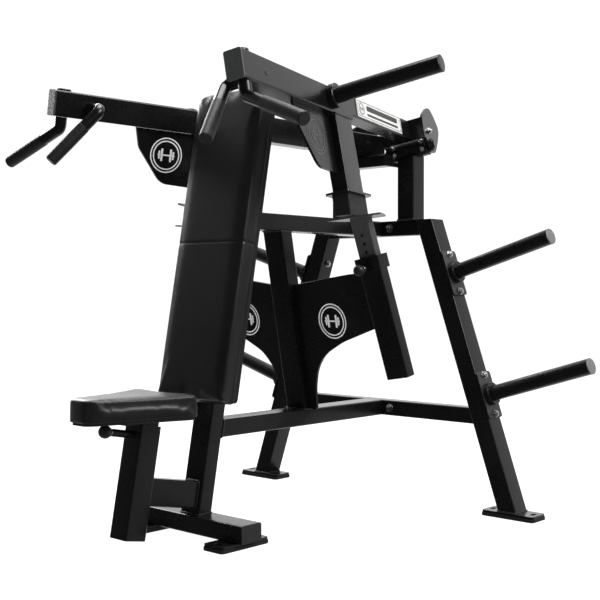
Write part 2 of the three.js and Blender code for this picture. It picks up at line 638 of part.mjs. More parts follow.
for (const [hand, side] of SIDES) {
  const arm = side > 0 ? leftArm : rightArm;
  const put = (name, geometry, finish) => add(arm, `${name}_${hand}`, handed(geometry, side), finish);
  put('arm_tube', armTube(), POWDER_COAT);
  put('arm_end_cap', alongY(NARROW, WIDE, -ARM_REACH, TUBE_FRONT - GAP, ARM_TOP - WIDE / 2), GREY_PLASTIC);
  put('arm_down_tube', downTube(), POWDER_COAT);
  put('arm_gusset', gusset(), POWDER_COAT);
  put('arm_bumper', bumper(leftArm), RUBBER);
  put('arm_horn', armHorn(), POWDER_COAT);
  put('outer_handle', outerHandle(), RUBBER);
  put('inner_handle', innerHandle(), RUBBER);
  put('arm_yoke', yoke(), POWDER_COAT);
  put('name_plate', box([NARROW / 2 + GAP, NARROW / 2 + 3], [-445, -123], [27, 82]), PALE_PLATE);
  put('pivot_housing', pivotHousing(), POWDER_COAT);
  add(frame, `rear_post_${hand}`, handed(rearPost(leftArm), side), POWDER_COAT);
}

export default machine;
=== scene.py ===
"""Looks of the plate-loaded shoulder press machine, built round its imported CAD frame. Metres, +Z up."""

import json
import math

import bmesh
import bpy
import numpy as np
from mathutils import Matrix, Vector
from mathutils.bvhtree import BVHTree


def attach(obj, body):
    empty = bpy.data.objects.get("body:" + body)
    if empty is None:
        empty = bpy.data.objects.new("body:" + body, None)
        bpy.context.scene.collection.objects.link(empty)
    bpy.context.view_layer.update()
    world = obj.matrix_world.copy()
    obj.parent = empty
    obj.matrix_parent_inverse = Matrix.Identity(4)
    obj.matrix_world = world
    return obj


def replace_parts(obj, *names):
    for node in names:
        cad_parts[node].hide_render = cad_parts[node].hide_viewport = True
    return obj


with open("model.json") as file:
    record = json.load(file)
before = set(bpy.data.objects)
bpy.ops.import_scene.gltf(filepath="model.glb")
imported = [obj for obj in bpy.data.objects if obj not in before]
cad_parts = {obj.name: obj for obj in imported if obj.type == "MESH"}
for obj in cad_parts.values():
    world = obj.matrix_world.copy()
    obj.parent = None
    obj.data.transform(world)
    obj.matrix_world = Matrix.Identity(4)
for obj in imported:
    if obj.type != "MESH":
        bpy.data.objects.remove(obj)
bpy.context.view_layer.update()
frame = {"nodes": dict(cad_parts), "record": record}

NODES = frame["nodes"]

# ----------------------------------------------------------------------------------------------
# The machine's own leaning axes, with the same origins and angles as the CAD part
# ----------------------------------------------------------------------------------------------
ORIGIN_Y = 0.265
TUBE = 0.0762
NARROW = 0.0508
LEG_TUBE = 0.061
HORN_RADIUS = 0.02415
HUB_RADIUS = 0.03175
GRIP_RADIUS = 0.0174
GAP = 0.0003            # between neighbouring solids
MIRROR = Matrix.Scale(-1, 4, (1, 0, 0))


def leaning(place, degrees, parent=None):
    """Axes at a place, turned about X, then Y, then Z."""
    x, y, z = (math.radians(d) for d in degrees)
    turn = Matrix.Rotation(z, 4, "Z") @ Matrix.Rotation(y, 4, "Y") @ Matrix.Rotation(x, 4, "X")
    return (parent or Matrix.Identity(4)) @ Matrix.Translation(place) @ turn


MACHINE = Matrix.Translation((0, -ORIGIN_Y, 0))
MAST = leaning((0, -0.020, 0.075), (-10.45, 0, 0), MACHINE)
WEB = leaning((0, 0.4474, 0.328), (11.17, 0, 0), MACHINE)
LEG = leaning((0.527, 0.835, 0.020), (0, -19.05, 0), MACHINE)
STOP = leaning((0.3515, 0, 0.476), (0, -9.3, 0), WEB)
ARM = leaning((0.142, 0.830, 1.163), (-2.03, -10.5, 13.85), MACHINE)

# +Z becomes +X, +X becomes +Y and +Y becomes +Z
ON_X = Matrix(((0, 0, 1, 0), (1, 0, 0, 0), (0, 1, 0, 0), (0, 0, 0, 1)))


def facing(origin, direction, spin=0.0):
    """Axes at origin whose +Z points along direction."""
    turn = Vector(direction).to_track_quat("Z", "Y").to_matrix().to_4x4()
    return Matrix.Translation(origin) @ turn @ Matrix.Rotation(spin, 4, "Z")


# ----------------------------------------------------------------------------------------------
# Materials
# ----------------------------------------------------------------------------------------------
class Nodes:
    """A short way to write a material's node tree."""

    def __init__(self, name):
        self.material = bpy.data.materials.new(name)
        self.material.use_nodes = True
        self.tree = self.material.node_tree
        self.shader = self.tree.nodes["Principled BSDF"]
        self.place = self.add("ShaderNodeTexCoord").outputs["Object"]

    def add(self, kind, **settings):
        node = self.tree.nodes.new(kind)
        for key, value in settings.items():
            setattr(node, key, value)
        return node

    def link(self, source, target):
        self.tree.links.new(source, target)

    def set(self, **values):
        for key, value in values.items():
            self.shader.inputs[key.replace("_", " ")].default_value = value

    def noise(self, scale, detail=3.0, roughness=0.5):
        node = self.add("ShaderNodeTexNoise")
        node.inputs["Scale"].default_value = scale
        node.inputs["Detail"].default_value = detail
        node.inputs["Roughness"].default_value = roughness
        self.link(self.place, node.inputs["Vector"])
        return node.outputs["Fac"]

    def ramp(self, factor, low, high, start=0.0, end=1.0):
        node = self.add("ShaderNodeMapRange", clamp=True)
        for name, value in zip(("From Min", "From Max", "To Min", "To Max"), (start, end, low, high)):
            node.inputs[name].default_value = value
        self.link(factor, node.inputs["Value"])
        return node.outputs["Result"]

    def blend(self, factor, low, high):
        node = self.add("ShaderNodeMix", data_type="RGBA")
        for socket, value in (("A", low), ("B", high)):
            target = [s for s in node.inputs if s.name == socket and s.type == "RGBA"][0]
            if hasattr(value, "node"):
                self.link(value, target)
            else:
                target.default_value = (*value, 1)
        self.link(factor, node.inputs["Factor"])
        return [s for s in node.outputs if s.type == "RGBA"][0]

    def maths(self, operation, a, b):
        node = self.add("ShaderNodeMath", operation=operation, use_clamp=True)
        for socket, value in zip(node.inputs, (a, b)):
            if hasattr(value, "node"):
                self.link(value, socket)
            else:
                socket.default_value = value
        return node.outputs["Value"]

    def bump(self, height, distance, strength=1.0, under=None):
        node = self.add("ShaderNodeBump")
        node.inputs["Strength"].default_value = strength
        node.inputs["Distance"].default_value = distance
        self.link(height, node.inputs["Height"])
        if under:
            self.link(under, node.inputs["Normal"])
        return node.outputs["Normal"]

    def rounded(self, radius):
        node = self.add("ShaderNodeBevel", samples=4)
        node.inputs["Radius"].default_value = radius
        return node.outputs["Normal"]

    def edges(self, radius, low=0.002, high=0.05):
        """1 on outer and inner edges, 0 on flat faces."""
        geometry = self.add("ShaderNodeNewGeometry")
        dot = self.add("ShaderNodeVectorMath", operation="DOT_PRODUCT")
        self.link(self.rounded(radius), dot.inputs[0])
        self.link(geometry.outputs["Normal"], dot.inputs[1])
        return self.ramp(dot.outputs["Value"], 1.0, 0.0, 1 - high, 1 - low)

    def finish(self, colour, roughness, normal):
        self.link(colour, self.shader.inputs["Base Color"])
        self.link(roughness, self.shader.inputs["Roughness"])
        self.link(normal, self.shader.inputs["Normal"])
        return self.material


def powder_coat():
    """Satin black powder coat: fine orange peel, faint handling marks and rubbed edges."""
    n = Nodes("powder_coat_black")
    n.set(Metallic=0.0, Specular_IOR_Level=0.28, Coat_Weight=0.35, Coat_Roughness=0.14)
    mottled = n.noise(7, 5, 0.65)
    scuffs = n.noise(38, 6, 0.75)
    worn = n.maths("MULTIPLY", n.edges(0.0016), n.ramp(n.noise(55, 4), 0.0, 1.0, 0.38, 0.75))
    base = n.blend(mottled, (0.0030, 0.0031, 0.0033), (0.0058, 0.0060, 0.0063))
    colour = n.blend(n.maths("MULTIPLY", worn, 0.5), base, (0.05, 0.05, 0.052))
    roughness = n.maths("ADD", n.ramp(mottled, 0.23, 0.31, 0.3, 0.7), n.ramp(scuffs, 0.0, 0.07, 0.5, 0.8))
    peel = n.bump(n.noise(1300, 2), 0.00012, 0.55, under=n.rounded(0.0012))
    return n.finish(colour, roughness, n.bump(n.noise(160, 3), 0.0002, 0.18, under=peel))


def vinyl():
    """Black upholstery vinyl with a pebbled leather grain and soft stretch creases."""
    n = Nodes("vinyl_black")
    n.set(Specular_IOR_Level=0.3, Coat_Weight=0.3, Coat_Roughness=0.2)
    pebble = n.add("ShaderNodeTexVoronoi", feature="DISTANCE_TO_EDGE")
    pebble.inputs["Scale"].default_value = 620
    n.link(n.place, pebble.inputs["Vector"])
    grain = n.ramp(pebble.outputs["Distance"], 0.0, 1.0, 0.0, 0.22)
    broad = n.noise(9, 4, 0.6)
    colour = n.blend(broad, (0.0060, 0.0060, 0.0064), (0.0095, 0.0094, 0.0100))
    roughness = n.maths("ADD", n.ramp(broad, 0.30, 0.38, 0.3, 0.7), n.ramp(grain, 0.06, 0.0))
    creases = n.bump(n.noise(26, 3, 0.4), 0.0012, 0.16)
    return n.finish(colour, roughness, n.bump(grain, 0.00022, 0.5, under=creases))


def plain(name, dark, pale, rough, grain, depth, specular=0.5):
    """A solid finish with a little colour drift, fine grain and eased edges."""
    n = Nodes(name)
    n.set(Specular_IOR_Level=specular)
    colour = n.blend(n.noise(22, 4, 0.6), dark, pale)
    roughness = n.ramp(n.noise(60, 5, 0.7), rough[0], rough[1], 0.3, 0.7)
    return n.finish(colour, roughness, n.bump(n.noise(grain, 2), depth, 0.5, under=n.rounded(0.0008)))


def grip_rubber():
    """Handle grip: soft rubber with fine moulded dimples."""
    n = Nodes("grip_rubber")
    n.set(Specular_IOR_Level=0.35)
    dimple = n.add("ShaderNodeTexVoronoi")
    dimple.inputs["Scale"].default_value = 330
    n.link(n.place, dimple.inputs["Vector"])
    pit = n.ramp(dimple.outputs["Distance"], 0.0, 1.0, 0.05, 0.45)
    colour = n.blend(n.noise(30), (0.0055, 0.0055, 0.0058), (0.010, 0.010, 0.0105))
    roughness = n.ramp(n.noise(70, 4), 0.42, 0.56, 0.3, 0.7)
    return n.finish(colour, roughness, n.bump(pit, 0.0003, 0.5))


def plated():
    """Bright zinc plate: spangled and slightly brushed."""
    n = Nodes("zinc_plate")
    n.set(Metallic=1.0)
    spangle = n.add("ShaderNodeTexVoronoi")
    spangle.inputs["Scale"].default_value = 240
    n.link(n.place, spangle.inputs["Vector"])
    colour = n.blend(n.ramp(spangle.outputs["Distance"], 0.0, 1.0, 0.0, 0.7),
                     (0.74, 0.75, 0.77), (0.55, 0.56, 0.58))
    roughness = n.ramp(n.noise(240, 5, 0.7), 0.2, 0.38, 0.3, 0.7)
    return n.finish(colour, roughness, n.bump(n.noise(900, 2), 0.00005, 0.4, under=n.rounded(0.0006)))


POWDER = powder_coat()
VINYL = vinyl()
ZINC = plated()
GRIP = grip_rubber()
RUBBER = plain("moulded_rubber", (0.007, 0.007, 0.007), (0.012, 0.012, 0.012), (0.5, 0.65), 800, 0.0002,
               specular=0.3)
BOARD = plain("painted_board", (0.008, 0.0075, 0.007), (0.014, 0.013, 0.012), (0.6, 0.75), 260, 0.0004,
              specular=0.25)
GREY = plain("grey_plug", (0.13, 0.132, 0.135), (0.16, 0.162, 0.165), (0.42, 0.55), 1100, 0.0001)
END_CAP = plain("end_cap_plastic", (0.045, 0.046, 0.048), (0.06, 0.061, 0.063), (0.2, 0.3), 1100, 0.0001)
BLACK_PLUG = plain("black_plug", (0.008, 0.008, 0.009), (0.013, 0.013, 0.014), (0.3, 0.4), 1100, 0.0001)
FLANGE = plain("flange_coat", (0.026, 0.0265, 0.0275), (0.036, 0.0365, 0.0375), (0.34, 0.46), 1300, 0.0001)
# Lighter copy of the black powder coat for the stop posts: painted light, standing in for the brighter
# light they catch
STOP_POST_LIT_COAT = plain("stop_post_coat", (0.042, 0.0425, 0.0435), (0.052, 0.0525, 0.0535), (0.3, 0.4), 1300,
                  0.0001)
PALE = plain("pale_plate", (0.60, 0.60, 0.59), (0.68, 0.68, 0.67), (0.3, 0.4), 1500, 0.00004)
MARK = plain("mark_paint", (0.80, 0.80, 0.79), (0.88, 0.88, 0.87), (0.42, 0.55), 1400, 0.00004)
# Dark grey copy of the white mark paint: painted shade for the shadowed emblem on the outer gussets
SHADED_MARK = plain("faint_mark_paint", (0.05, 0.05, 0.05), (0.07, 0.07, 0.07), (0.35, 0.45), 1400, 0.00004)
THREAD = plain("stitch_thread", (0.014, 0.014, 0.015), (0.024, 0.024, 0.025), (0.7, 0.8), 2000, 0.0001)
WELD = plain("weld_bead", (0.010, 0.010, 0.011), (0.016, 0.016, 0.017), (0.32, 0.46), 420, 0.0005)

FINISH = {"powder_coat": POWDER, "vinyl": VINYL, "board": BOARD, "rubber": RUBBER,
          "grey_plastic": END_CAP, "pale_plate": PALE, "zinc": ZINC}


# ----------------------------------------------------------------------------------------------
# Mesh helpers
# ----------------------------------------------------------------------------------------------
def soften(mesh, degrees=38):
    """Smooth shading across shallow creases, flat across sharp ones. No vertex moves."""
    count = len(mesh.loops)
    corner_vertex = np.empty(count, int)
    mesh.loops.foreach_get("vertex_index", corner_vertex)
    points = np.array([v.co for v in mesh.vertices])
    keys = np.unique(np.round(points * 1e5).astype(int), axis=0, return_inverse=True)[1].ravel()
    spot = keys[corner_vertex]
    faces = np.empty(count, int)
    for polygon in mesh.polygons:
        faces[list(polygon.loop_indices)] = polygon.index
    normals = np.array([p.normal for p in mesh.polygons])
    areas = np.array([p.area for p in mesh.polygons])
    limit = math.cos(math.radians(degrees))
    order = np.argsort(spot, kind="stable")
    starts = np.flatnonzero(np.r_[True, np.diff(spot[order]) > 0, True])
    result = normals[faces]
    for a, b in zip(starts[:-1], starts[1:]):
        group = order[a:b]
        around = normals[faces[group]]
        near = (around @ around.T > limit) * areas[faces[group]]
        result[group] = near @ around
    result /= np.linalg.norm(result, axis=1, keepdims=True) + 1e-12
    for polygon in mesh.polygons:
        polygon.use_smooth = True
    mesh.normals_split_custom_set(result.tolist())


def piece(name, bm, body, material, matrix=None, smooth=38):
    """A new object from a bmesh, riding on a body. The bmesh is used up."""
    if matrix:
        bm.transform(matrix)
    mesh = bpy.data.meshes.new(name)
    bm.to_mesh(mesh)
    bm.free()
    mesh.materials.append(material)
    obj = bpy.data.objects.new(name, mesh)
    bpy.context.scene.collection.objects.link(obj)
    soften(mesh, smooth)
    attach(obj, body)
    return obj


def mirrored(bm):
    """The reflection of a bmesh in the machine's centre plane."""
    copy = bm.copy()
    copy.transform(MIRROR)
    bmesh.ops.reverse_faces(copy, faces=copy.faces)
    return copy


def pair(name, bm, body, material, matrix=None, replaces=None):
    """A left-hand piece and its reflection. {} in the names stands for left or right."""
    if matrix:
        bm.transform(matrix)
    other = mirrored(bm)
    for hand, half in (("left", bm), ("right", other)):
        obj = piece(name.format(hand), half, body.format(hand), material)
        if replaces:
            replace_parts(obj, replaces.format(hand))


def joined(*parts):
    """One bmesh from several, which are used up."""
    whole = bmesh.new()
    for part in parts:
        mesh = bpy.data.meshes.new("part")
        part.to_mesh(mesh)
        part.free()
        whole.from_mesh(mesh)
        bpy.data.meshes.remove(mesh)
    return whole


def placed(bm, matrix):
    bm.transform(matrix)
    return bm


def revolved(profile, sides=48):
    """A closed round body about +Z from (height, radius) steps that start and end at radius 0."""
    bm = bmesh.new()
    rings = []
    for height, radius in profile:
        if radius < 1e-7:
            rings.append([bm.verts.new((0, 0, height))])
            continue
        rings.append([bm.verts.new((radius * math.cos(t), radius * math.sin(t), height))
                      for t in (2 * math.pi * i / sides for i in range(sides))])
    for low, high in zip(rings, rings[1:]):
        for i in range(sides):
            j = (i + 1) % sides
            loop = [low[i % len(low)], low[j % len(low)], high[j % len(high)], high[i % len(high)]]
            bm.faces.new([v for k, v in enumerate(loop) if v not in loop[:k]])
    bmesh.ops.recalc_face_normals(bm, faces=bm.faces)
    return bm


def rounded_outline(width, height, radius, steps=6):
    points = []
    for quarter, (sx, sy) in enumerate(((1, 1), (-1, 1), (-1, -1), (1, -1))):
        for i in range(steps + 1):
            t = math.radians(90 * (quarter + i / steps))
            points.append((sx * (width / 2 - radius) + radius * math.cos(t),
                           sy * (height / 2 - radius) + radius * math.sin(t)))
    return points


def slab(points, low, high, bevel=0.0006, holes=()):
    """A flat outline extruded from low to high along Z, with eased edges and through slots."""
    bm = bmesh.new()
    loops = [[bm.verts.new((x, y, low)) for x, y in ring] for ring in (points, *holes)]
    edges = [bm.edges.new((a, b)) for ring in loops for a, b in zip(ring, ring[1:] + ring[:1])]
    filled = bmesh.ops.triangle_fill(bm, edges=edges, use_beauty=True)
    faces = [g for g in filled["geom"] if isinstance(g, bmesh.types.BMFace)]
    top = bmesh.ops.extrude_face_region(bm, geom=faces)
    moved = [g for g in top["geom"] if isinstance(g, bmesh.types.BMVert)]
    bmesh.ops.translate(bm, verts=moved, vec=(0, 0, high - low))
    bmesh.ops.recalc_face_normals(bm, faces=bm.faces)
    if bevel:
        rim = [e for e in bm.edges if len(e.link_faces) == 2 and e.calc_face_angle(0) > 1.0
               and abs(e.verts[0].co.z - e.verts[1].co.z) < 1e-6]
        bmesh.ops.bevel(bm, geom=rim, offset=bevel, segments=2, affect="EDGES", clamp_overlap=True)
    return bm


def swept(path, radius, sides=32):
    """A round bar along a path of points, with rounded-over ends."""
    bm = bmesh.new()
    points = [Vector(p) for p in path]
    runs = [(b - a).normalized() for a, b in zip(points, points[1:])]
    tangents = [runs[0]] + [(a + b).normalized() for a, b in zip(runs, runs[1:])] + [runs[-1]]
    up = tangents[0].orthogonal().normalized()
    rings = []
    for i, (point, tangent) in enumerate(zip(points, tangents)):
        up = (up - tangent * up.dot(tangent)).normalized()
        side = tangent.cross(up)
        r = radius[i] if isinstance(radius, (list, tuple)) else radius
        rings.append([bm.verts.new(point + (up * math.cos(t) + side * math.sin(t)) * r)
                      for t in (2 * math.pi * k / sides for k in range(sides))])
    for low, high in zip(rings, rings[1:]):
        for k in range(sides):
            bm.faces.new((low[k], low[(k + 1) % sides], high[(k + 1) % sides], high[k]))
    bm.faces.new(rings[0][::-1])
    bm.faces.new(rings[-1])
    bmesh.ops.recalc_face_normals(bm, faces=bm.faces)
    return bm


def bent(start, corner, end, reach, steps=8):
    """Points from start to end with the corner turned into a smooth bend."""
    start, corner, end = Vector(start), Vector(corner), Vector(end)
    a = corner + (start - corner).normalized() * reach
    b = corner + (end - corner).normalized() * reach
    curve = [a.lerp(corner, t).lerp(corner.lerp(b, t), t) for t in (i / steps for i in range(steps + 1))]
    return [start, *curve, end]


# ----------------------------------------------------------------------------------------------
# Finishes on the carried-over CAD nodes
# ----------------------------------------------------------------------------------------------
for entry in frame["record"]["subparts"]:
    obj = NODES[entry["node"]]
    obj.data.materials.clear()
    # The stop posts take the lighter copy of the black coat, which paints in the brighter light they catch
    is_post = entry["node"].startswith("stop_post")
    obj.data.materials.append(STOP_POST_LIT_COAT if is_post else FINISH[entry["material_slot"]])
    soften(obj.data)


# ----------------------------------------------------------------------------------------------
# Hardware: hexagon bolts on washers
# ----------------------------------------------------------------------------------------------
def hexagon(across, low, high, chamfer=0.0009):
    radius = across / math.sqrt(3)
    steps = [(low, 0), (low, radius - chamfer), (low + chamfer, radius), (high - chamfer, radius),
             (high, radius - 2 * chamfer), (high, 0)]
    return revolved(steps, 6)


WASHER = 0.0022


def bolt(size):
    """A washer, a hexagon head and a domed thread end, standing on the XY plane."""
    top = WASHER + 0.62 * size
    washer = [(0, 0), (0, size), (0.0004, size * 1.08), (0.0018, size * 1.08), (WASHER, size * 1.04),
              (WASHER, 0)]
    thread = [(top - 0.001, 0), (top - 0.001, size * 0.46), (top + 0.0018, size * 0.46),
              (top + 0.003, size * 0.34), (top + 0.003, 0)]
    head = placed(hexagon(size * 1.55, WASHER, top), Matrix.Rotation(0.3, 4, "Z"))
    return joined(revolved(washer, 40), head, revolved(thread, 28))


def bolts(places, size):
    """Bolts at (point, outward direction) places inside one set of axes."""
    return joined(*(placed(bolt(size), facing(point, direction, i * 0.7))
                    for i, (point, direction) in enumerate(places)))


LEG_FACE = LEG_TUBE / 2 + GAP
STORAGE = (0.764, 0.3595)       # places of the storage horns up the leg
FLANGE_SIZE = (0.0758, 0.150)
FLANGE_THICKNESS = 0.006
FLANGE_BOLT = 0.063
CROSSBAR_FACE = 0.835 - NARROW / 2
CROSSBARS = (0.303, 0.905)
CROSSBAR_BOLT = 0.071

flange_bolts = [z + s * FLANGE_BOLT for z in STORAGE for s in (-1, 1)]
leg_bolts = bolts([((LEG_FACE + FLANGE_THICKNESS + 0.0008, 0, z), (1, 0, 0)) for z in flange_bolts]
                  + [((-LEG_TUBE / 2, 0, z), (-1, 0, 0)) for z in flange_bolts], 0.011)
pair("leg_bolts_{}", leg_bolts, "frame", ZINC, LEG)

for level, height in zip(("upper", "lower"), STORAGE):
    collar = [(0.0325 * math.cos(t), 0.0325 * math.sin(t)) for t in (math.tau * i / 48 for i in range(48))]
    cover = slab(rounded_outline(*FLANGE_SIZE, 0.010), 0.0, 0.0008, 0.0003, [collar])
    pair(f"storage_flange_{level}_" + "{}", cover, "frame", FLANGE,
         LEG @ Matrix.Translation((LEG_FACE + FLANGE_THICKNESS, 0, height)) @ ON_X)

crossbar_bolts = bolts([((CROSSBAR_BOLT, y, z), (0, out, 0))
                        for y, out in ((CROSSBAR_FACE, -1), (CROSSBAR_FACE + NARROW, 1))
                        for z in CROSSBARS], 0.013)
pair("crossbar_bolts_{}", crossbar_bolts, "frame", ZINC, MACHINE)

yoke_bolts = bolts([((side * 0.0753, -0.008, 0.044), (side, 0, 0)) for side in (-1, 1)], 0.010)
pair("yoke_bolts_{}", yoke_bolts, "{}_arm", ZINC, ARM)

HUB_BOLTS = [(0.050, math.radians(112)), (0.052, math.radians(162)), (0.050, math.radians(205))]
hub_bolts = bolts([((side * x, HUB_RADIUS * math.cos(t), HUB_RADIUS * math.sin(t)),
                    (0, math.cos(t), math.sin(t))) for side in (-1, 1) for x, t in HUB_BOLTS], 0.0075)
pair("hub_bolts_{}", hub_bolts, "frame", ZINC, ARM)

back_bolts = bolts([((0, 0.0511, z), (0, 1, 0)) for z in (0.42, 0.80, 1.10)], 0.011)
piece("back_pad_bolts", back_bolts, "frame", ZINC, MAST)


# ----------------------------------------------------------------------------------------------
# Tube plugs and horn caps
# ----------------------------------------------------------------------------------------------
def tube_plug(width, height, proud=0.0018):
    """A moulded plug, seated in a tube's end, facing +Z."""
    rim = slab(rounded_outline(width - 0.0012, height - 0.0012, 0.005), 0.0002, proud, 0.0008)
    boss = slab(rounded_outline(width * 0.62, height * 0.62, 0.004), proud - 0.0004, proud + 0.0006, 0.0004)
    return joined(rim, boss)


def horn_cap():
    """A domed cap pushed into a horn's end, facing +Z."""
    rim = HORN_RADIUS + 0.0002
    return revolved([(-0.0003, 0), (-0.0003, rim - 0.0015), (0.0002, rim), (0.0022, rim),
                     (0.0034, rim - 0.0012), (0.0040, rim - 0.0045), (0.0043, rim * 0.55), (0.0044, 0)], 64)


STORAGE_HORN_END = 0.360
ARM_HORN = (-0.600, 0.055)      # along and up the arm
ARM_HORN_END = 0.355
droop = Matrix.Rotation(math.radians(2), 4, "Y")
for level, height in zip(("upper", "lower"), STORAGE):
    root = Matrix.Translation((LEG_FACE + 0.005, 0, height)) @ droop
    at = LEG @ root @ facing((STORAGE_HORN_END, 0, 0), (1, 0, 0))
    pair(f"storage_cap_{level}_" + "{}", horn_cap(), "frame", GREY, at)


def horn_root():
    """The collar at the root of a horn, standing on the XY plane."""
    return revolved([(0, 0), (0, 0.0345), (0.0012, 0.0355), (0.0172, 0.0355), (0.0190, 0.0335),
                     (0.0190, 0)], 64)


for level, height in zip(("upper", "lower"), STORAGE):
    root = (Matrix.Translation((LEG_FACE + FLANGE_THICKNESS + 0.0002, 0, height)) @ droop
            @ facing((0, 0, 0), (1, 0, 0)))
    pair(f"storage_horn_root_{level}_" + "{}", horn_root(), "frame", POWDER, LEG @ root)
pair("arm_horn_root_{}", horn_root(), "{}_arm", POWDER,
     ARM @ facing((NARROW / 2 + GAP, *ARM_HORN), (1, 0, 0)))
pair("arm_horn_cap_{}", horn_cap(), "{}_arm", BLACK_PLUG,
     ARM @ facing((ARM_HORN_END, *ARM_HORN), (1, 0, 0)))

pair("cross_tube_plug_{}", tube_plug(TUBE, NARROW), "frame", BLACK_PLUG,
     MACHINE @ Matrix.Translation((0.227, 0, 0.0434)) @ ON_X)
SEAT_SLEEVE = 0.070
SEAT_SLEEVE_Y = -0.2083
STOP_SLEEVE_LENGTH = 0.356
piece("seat_sleeve_plug", tube_plug(SEAT_SLEEVE, SEAT_SLEEVE), "frame", BLACK_PLUG,
      MAST @ facing((0, SEAT_SLEEVE_Y, -0.079), (0, 0, -1)))
pair("stop_sleeve_plug_{}", tube_plug(TUBE, 0.0381), "frame", BLACK_PLUG,
     STOP @ Matrix.Translation((0, 0, -STOP_SLEEVE_LENGTH)) @ Matrix.Rotation(math.pi, 4, "X"))


# ----------------------------------------------------------------------------------------------
# Feet: a steel plate on a rubber pad
# ----------------------------------------------------------------------------------------------
def foot(width, length, slot, across):
    """A steel plate and its rubber pad. Two slots are set apart along Y when across, else along X."""
    slot_size = (0.026, 0.014) if across else (0.014, 0.026)
    shift = (0, slot) if across else (slot, 0)

    def holes(grow):
        ring = rounded_outline(slot_size[0] + grow, slot_size[1] + grow, 0.0069 + grow / 2)
        return [[(x + s * shift[0], y + s * shift[1]) for x, y in ring] for s in (-1, 1)]

    steel = slab(rounded_outline(width, length, 0.010), 0.0102, 0.0177, 0.0008, holes(0))
    pad = slab(rounded_outline(width + 0.004, length + 0.004, 0.012), 0.0, 0.0100, 0.0015, holes(0.002))
    return steel, pad


for place, centre, size, slot, across in (("front", (0.1694, 0), (0.0756, 0.1785), 0.066, True),
                                          ("rear", (0.5328, 0.831), (0.179, 0.079), 0.070, False)):
    steel, pad = foot(*size, slot, across)
    at = MACHINE @ Matrix.Translation((*centre, 0))
    pair(f"{place}_foot_plate_" + "{}", steel, "frame", POWDER, at)
    pair(f"{place}_foot_pad_" + "{}", pad, "frame", RUBBER, at, replaces=f"{place}_foot_" + "{}")


# ----------------------------------------------------------------------------------------------
# Handles: bent tube with a rubber grip
# ----------------------------------------------------------------------------------------------
ARM_UNDERSIDE = 0.0096 - GAP
OUTER_HANDLE = (0.003, -1.039)
INNER_HANDLE = (-0.9605, 0.0455)


def handle(path, grip_from):
    """The bare tube, and the grip over its last run."""
    steel = swept(path, GRIP_RADIUS - GAP)
    run = path[-1] - path[-2]
    start = path[-2] + run * grip_from
    axis = run.normalized()
    length = (path[-1] - start).length
    profile = [(0, 0), (0, GRIP_RADIUS), (0.0008, GRIP_RADIUS + 0.0006),
               (length * 0.5, GRIP_RADIUS + 0.0009), (length - 0.004, GRIP_RADIUS + 0.0006),
               (length - 0.001, GRIP_RADIUS), (length + 0.0012, GRIP_RADIUS - 0.002), (length + 0.0016, 0)]
    return steel, placed(revolved(profile, 48), facing(start, axis))


outer = bent((*OUTER_HANDLE, ARM_UNDERSIDE), (*OUTER_HANDLE, -0.025), (0.190, -1.118, -0.148), 0.012)
inner = bent((-NARROW / 2 - GAP, *INNER_HANDLE), (-0.099, *INNER_HANDLE), (-0.096, -1.095, -0.118), 0.020)
for name, path in (("outer", outer), ("inner", inner)):
    steel, grip = handle(path, 0.28)
    pair(f"{name}_handle_tube_" + "{}", steel, "{}_arm", POWDER, ARM)
    pair(f"{name}_handle_grip_" + "{}", grip, "{}_arm", GRIP, ARM,
         replaces=f"{name}_handle_" + "{}")

stub_cap = revolved([(0, 0), (0, 0.0215), (0.0045, 0.0215), (0.0060, 0.0195), (0.0064, 0)], 40)
pair("handle_stub_cap_{}", stub_cap, "{}_arm", POWDER,
     ARM @ Matrix.Translation((*OUTER_HANDLE, 0.0858)))
hole_plug = revolved([(0, 0), (0, 0.0085), (0.0010, 0.0080), (0.0012, 0.0055), (0.0005, 0.0045),
                      (0.0005, 0)], 32)
pair("handle_hole_plug_{}", hole_plug, "{}_arm", BLACK_PLUG,
     ARM @ facing((NARROW / 2, *INNER_HANDLE), (1, 0, 0)))


# ----------------------------------------------------------------------------------------------
# Pull pins: a plain rod, a bright ring and a ball knob
# ----------------------------------------------------------------------------------------------
def pull_pin(nose, ring_at, knob_at, knob):
    """The rod, the ring and the knob, along +Z from the middle of the tube they pass into."""
    rod = revolved([(nose, 0), (nose, 0.004), (nose + 0.002, 0.005), (knob_at, 0.005), (knob_at, 0)], 28)
    bright = revolved([(ring_at, 0.0), (ring_at, 0.0108), (ring_at + 0.0008, 0.0116),
                       (ring_at + 0.0032, 0.0116), (ring_at + 0.004, 0.0108), (ring_at + 0.004, 0.0)], 40)
    stand = 0.75  # from the ball's foot to its middle, in radii
    start = math.acos(-stand)
    middle = knob_at + stand * knob
    arc = [(middle + knob * math.cos(t), knob * math.sin(t))
           for t in (start * (1 - i / 24) for i in range(24))]
    return rod, bright, revolved([(knob_at, 0), (knob_at, 0.0085), *arc, (middle + knob, 0)], 40)


SEAT_PIN = MAST @ facing((0, SEAT_SLEEVE_Y, 0.196), (0, -1, 0))
STOP_PIN = STOP @ facing((0, 0, -0.030), (0, -1, 0))
rod, bright, knob = pull_pin(0.0315, 0.1078, 0.1118, 0.018)
piece("seat_pin_rod", rod, "seat_pin", ZINC, SEAT_PIN)
piece("seat_pin_ring", bright, "seat_pin", ZINC, SEAT_PIN)
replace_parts(piece("seat_pin_knob", knob, "seat_pin", BLACK_PLUG, SEAT_PIN), "seat_pin")
rod, bright, knob = pull_pin(0.0200, 0.0475, 0.0515, 0.0165)
pair("stop_pin_rod_{}", rod, "stop_pin_{}", ZINC, STOP_PIN)
pair("stop_pin_ring_{}", bright, "stop_pin_{}", ZINC, STOP_PIN)
pair("stop_pin_knob_{}", knob, "stop_pin_{}", BLACK_PLUG, STOP_PIN, replaces="stop_pin_{}")


